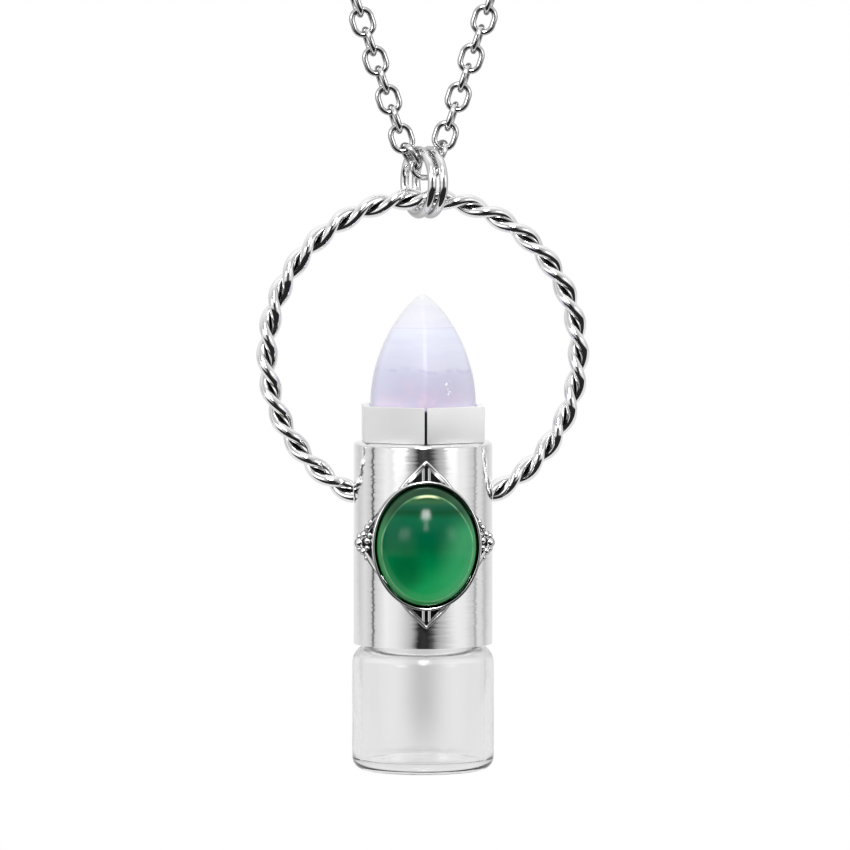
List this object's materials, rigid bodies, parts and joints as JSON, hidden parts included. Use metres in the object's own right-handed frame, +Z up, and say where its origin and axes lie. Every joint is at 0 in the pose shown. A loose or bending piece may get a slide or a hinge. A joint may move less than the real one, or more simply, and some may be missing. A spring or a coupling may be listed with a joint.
{
  "type": "bottle pendant",
  "caption": "Glass bottle in a metal sleeve with a green oval cabochon and a lilac stone point, hung from a twisted wire hoop on a cable chain necklace.",
  "frame": {"origin": "top of the chain's loop, at the middle of the clasp, where the loop lies on the back of the neck", "axes": "+Z up, +X to the right seen from the front, the cabochon faces -Y"},
  "size_m": [0.0946, 0.0189, 0.2506],
  "materials": {
    "chain_metal": "polished",
    "wire_metal": "polished",
    "sleeve_metal": "finely turned",
    "collar_metal": "satin",
    "lilac_stone": "polished, banded",
    "setting_metal": "polished edges over blackened recesses",
    "green_stone": "polished, glossy",
    "bottle_glass": "clear"
  },
  "bodies": {
    "necklace": {"chain_left": "chain_metal", "chain_right": "chain_metal", "clasp": "chain_metal", "jump_ring_1": "wire_metal", "jump_ring_2": "wire_metal"},
    "pendant": {"twisted_hoop": "wire_metal", "sleeve": "sleeve_metal", "stone_collar": "collar_metal", "stone_point": "lilac_stone", "setting": "setting_metal", "cabochon": "green_stone"},
    "bottle": {"glass_bottle": "bottle_glass"}
  },
  "joints": [
    {"name": "pendant_swing", "type": "hinge", "parent": "necklace", "child": "pendant", "pos_m": [0, 0, -0.19092], "axis": [1, 0, 0], "range_deg": [-90, 90]},
    {"name": "bottle_slide", "type": "slide", "parent": "pendant", "child": "bottle", "axis": [0, 0, -1], "range_m": [0, 0.012]}
  ]
}
